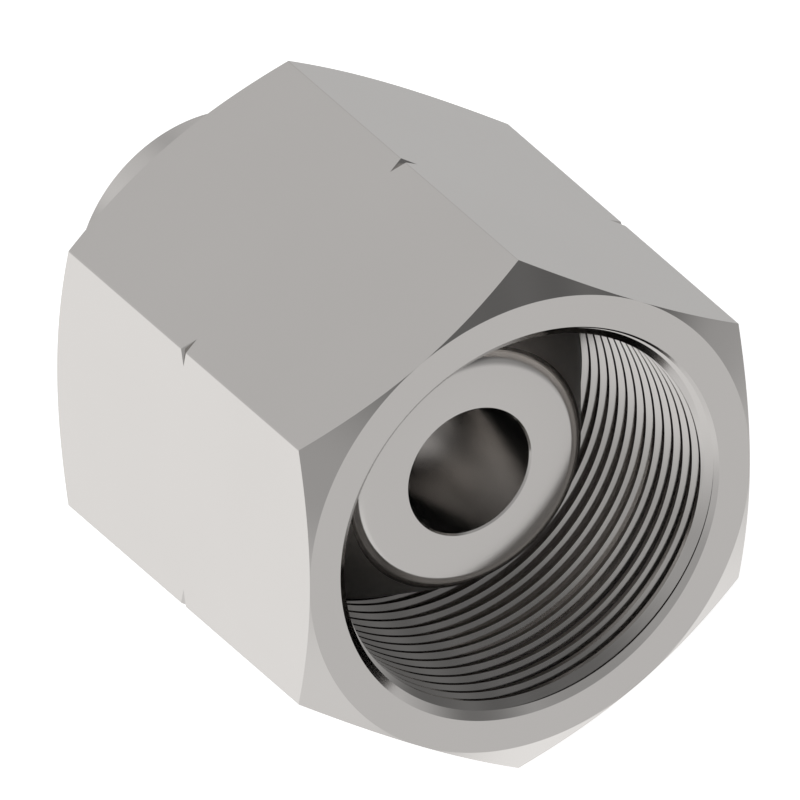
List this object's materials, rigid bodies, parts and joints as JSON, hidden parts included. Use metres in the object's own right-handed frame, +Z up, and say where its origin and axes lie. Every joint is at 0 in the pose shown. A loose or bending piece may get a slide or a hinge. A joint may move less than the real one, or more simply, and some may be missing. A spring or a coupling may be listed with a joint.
{
  "type": "threaded protection cap",
  "caption": "Hexagonal steel protection cap: a threaded recess with a coned, bored nose inside, notched corners and a plain round boss behind.",
  "frame": {"origin": "centre of the open end's face, on the cap's axis", "axes": "+Y runs back along the cap's axis from the open end to the boss, +Z is up with the cap lying on one flat of its hexagon, +X is across two of its corners"},
  "size_m": [0.0474, 0.0524, 0.041],
  "materials": {
    "steel": "satin, as turned"
  },
  "bodies": {
    "root": {"cap": "steel"}
  },
  "joints": []
}
